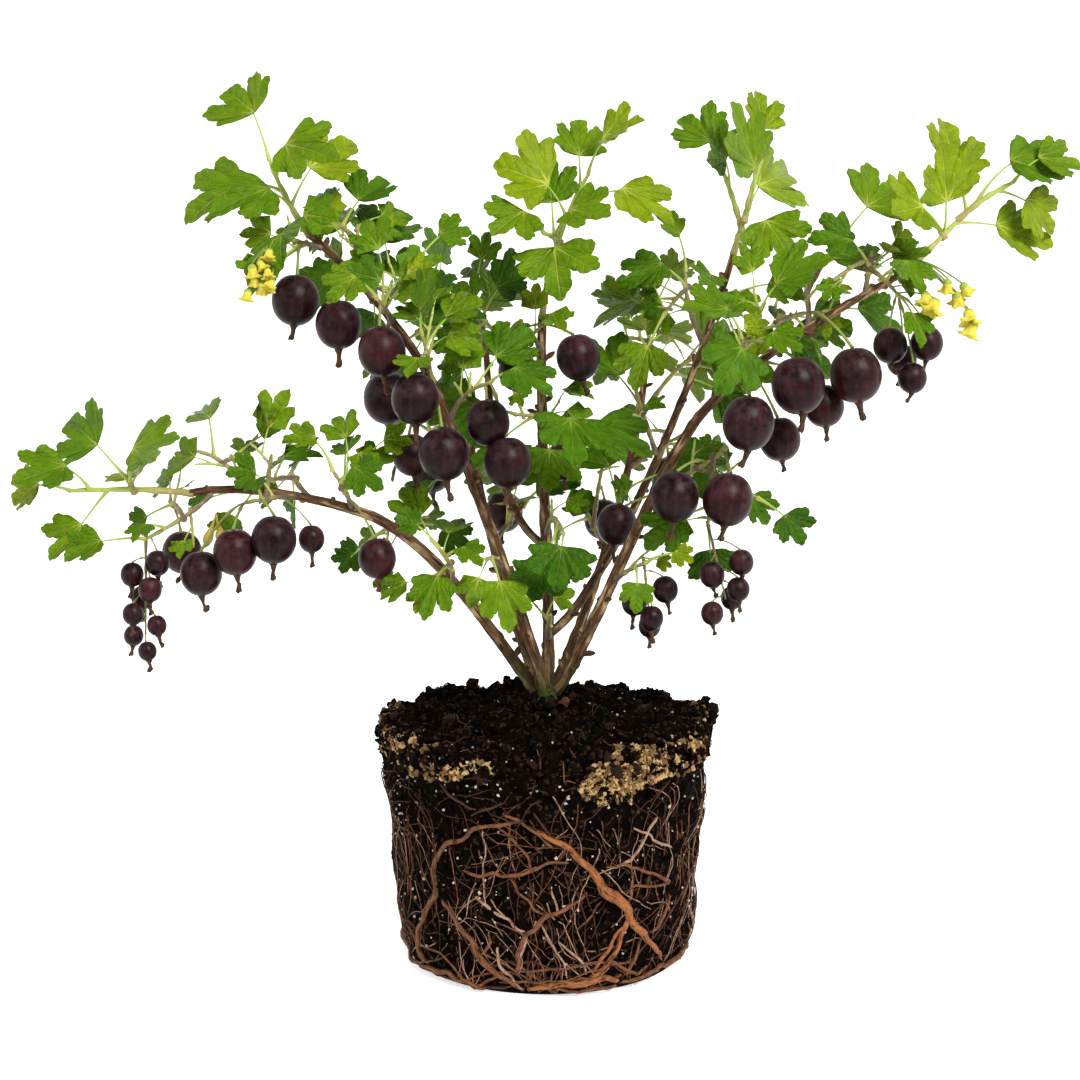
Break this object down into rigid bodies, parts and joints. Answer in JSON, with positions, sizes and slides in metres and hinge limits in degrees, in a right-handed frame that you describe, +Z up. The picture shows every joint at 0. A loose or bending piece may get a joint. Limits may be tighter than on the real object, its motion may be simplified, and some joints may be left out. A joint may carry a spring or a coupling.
{
  "type": "gooseberry bush",
  "caption": "Young gooseberry bush in fruit: arching stems with lobed leaves, dark berries and small yellow flowers, standing on the flat underside of its bare root ball.",
  "frame": {"origin": "the middle of the root ball's flat underside", "axes": "+X along the bush's widest spread, to the right from the front; -Y the front; +Z up"},
  "size_m": [0.5152, 0.2213, 0.4326],
  "materials": {
    "soil": "matte",
    "bark": "matte",
    "foliage": "satin"
  },
  "bodies": {
    "root": {"root_ball": "soil", "stool": "bark", "centre_stem": "bark", "inner_left_bough": "bark", "inner_right_bough": "bark", "low_left_arm": "bark", "low_left_bough": "bark", "rear_left_bough": "bark", "rear_right_bough": "bark", "right_arm": "bark", "right_bough": "bark", "upper_left_arm": "bark", "upper_left_bough": "bark", "foliage_centre_foot": "foliage", "foliage_centre_lower": "foliage", "foliage_centre_middle": "foliage", "foliage_centre_tip": "foliage", "foliage_centre_upper": "foliage", "foliage_inner_left": "foliage", "foliage_inner_right_lower": "foliage", "foliage_inner_right_middle": "foliage", "foliage_inner_right_tip": "foliage", "foliage_inner_right_upper": "foliage", "foliage_left_berries": "foliage", "foliage_left_clusters": "foliage", "foliage_left_crest": "foliage", "foliage_left_inner": "foliage", "foliage_left_inner_rear": "foliage", "foliage_left_middle": "foliage", "foliage_left_rear": "foliage", "foliage_left_tip": "foliage", "foliage_middle_left": "foliage", "foliage_middle_left_low": "foliage", "foliage_rear_left_low": "foliage", "foliage_rear_left_middle": "foliage", "foliage_rear_left_tip": "foliage", "foliage_rear_right_low": "foliage", "foliage_rear_right_middle": "foliage", "foliage_rear_right_tip": "foliage", "foliage_right_berries": "foliage", "foliage_right_crest": "foliage", "foliage_right_low": "foliage", "foliage_right_low_clusters": "foliage", "foliage_right_outer": "foliage", "foliage_right_rear": "foliage", "foliage_right_tip": "foliage", "foliage_upper_left_berries": "foliage", "foliage_upper_left_crest": "foliage", "foliage_upper_left_lower": "foliage", "foliage_upper_left_rear": "foliage", "foliage_upper_left_spur": "foliage", "foliage_upper_left_tip": "foliage"}
  },
  "joints": []
}
